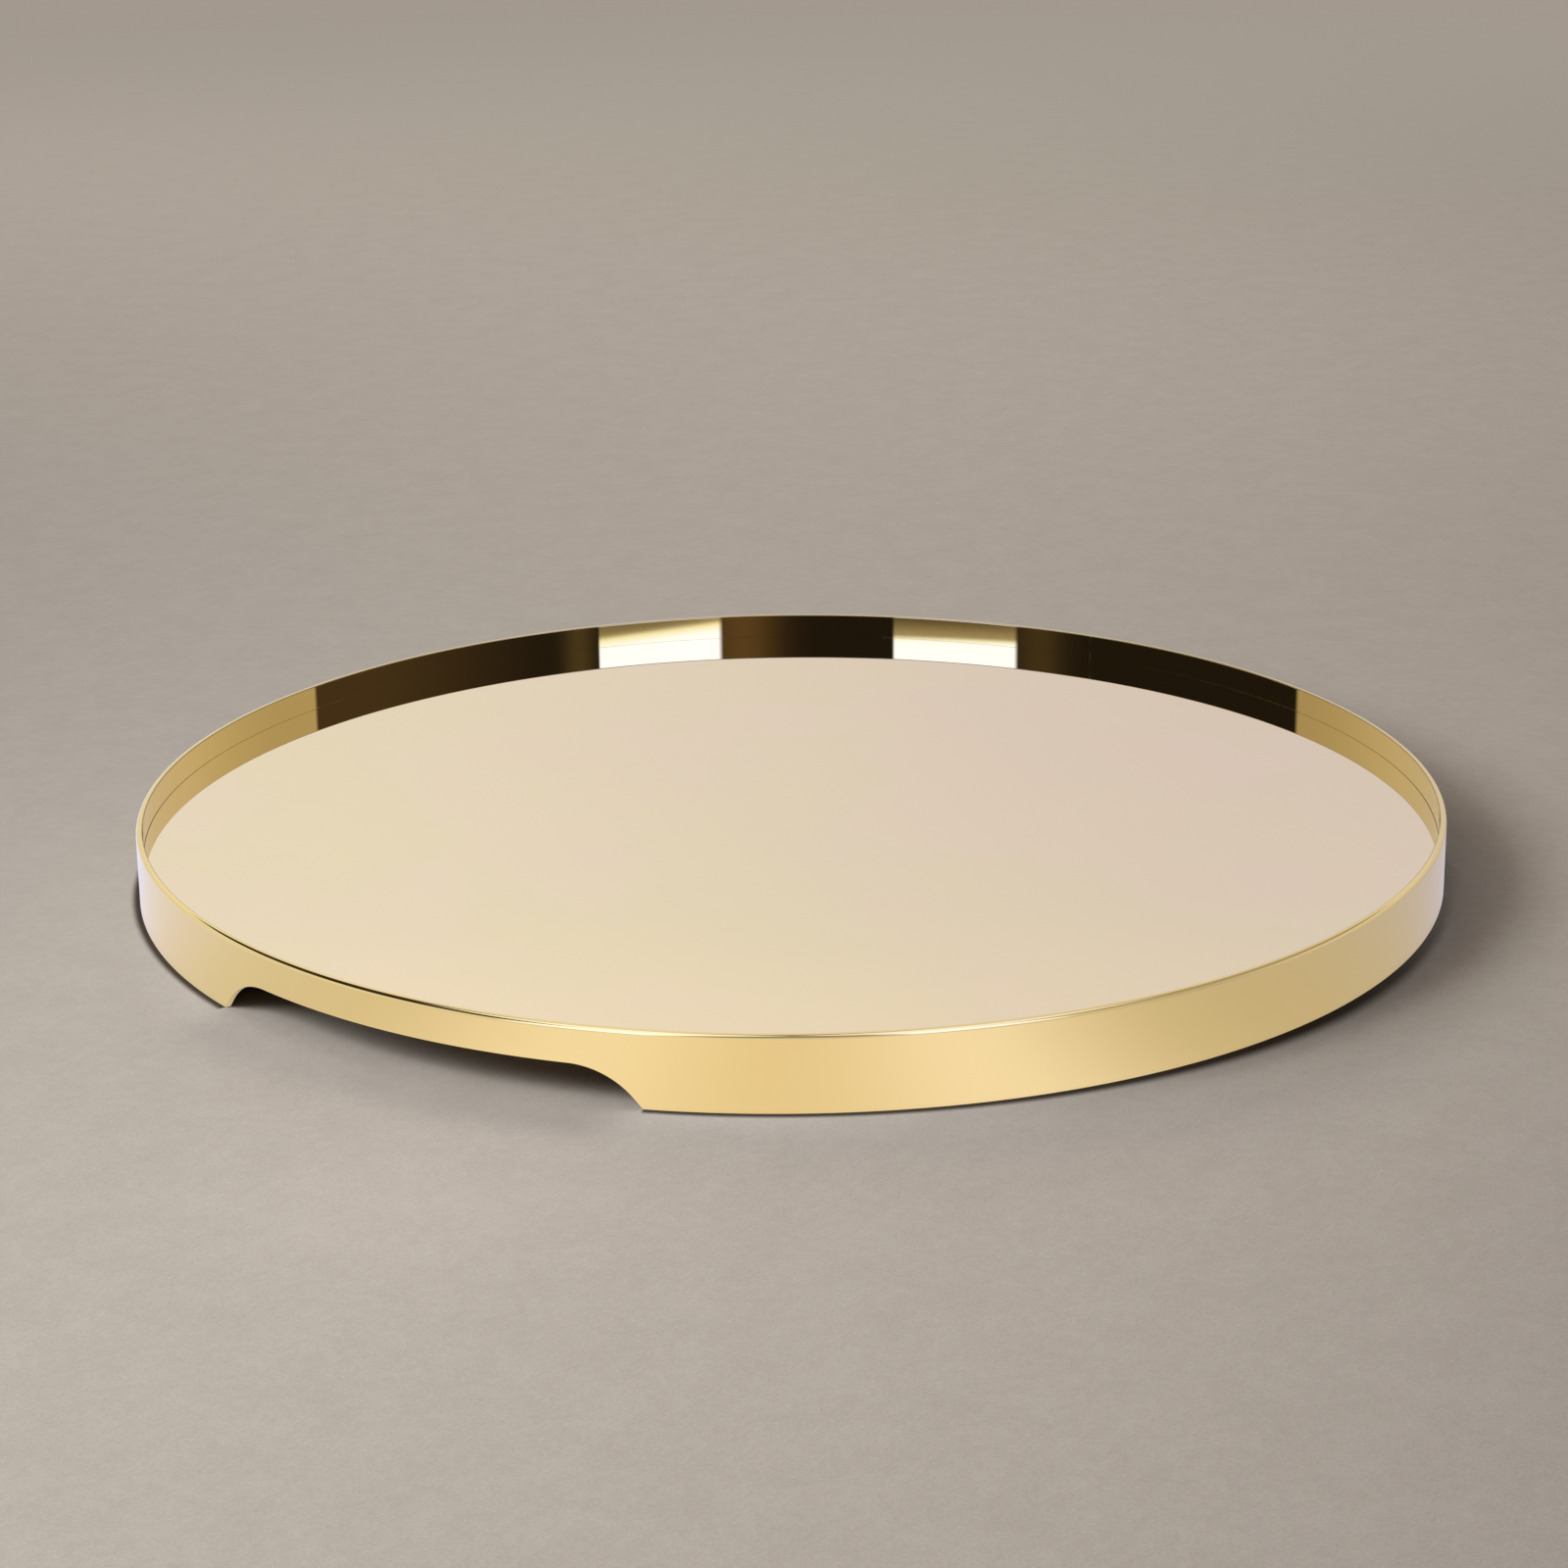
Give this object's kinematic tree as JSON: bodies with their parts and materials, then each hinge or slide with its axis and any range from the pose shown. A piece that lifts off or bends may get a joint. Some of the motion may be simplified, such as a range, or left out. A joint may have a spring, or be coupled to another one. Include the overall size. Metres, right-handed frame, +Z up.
{
  "type": "round serving tray",
  "caption": "Round mirror-polished brass tray: flat plate soldered below the rim of a thin rolled band, with long shallow finger gaps cut into the foot for lifting.",
  "frame": {"origin": "centre of the circle that the band's foot stands on", "axes": "+Z up along the tray's axis, X through the middles of the two finger gaps, Y across them"},
  "size_m": [0.4, 0.4, 0.022],
  "materials": {
    "band_brass": "mirror polished, edges softly broken",
    "plate_brass": "mirror polished flat",
    "seam_braze": "dressed flush and polished",
    "solder": "as flowed, satin"
  },
  "bodies": {
    "root": {"rim_band": "band_brass", "rim_seam_braze": "seam_braze", "tray_plate": "plate_brass", "plate_solder_fillet": "solder"}
  },
  "joints": []
}
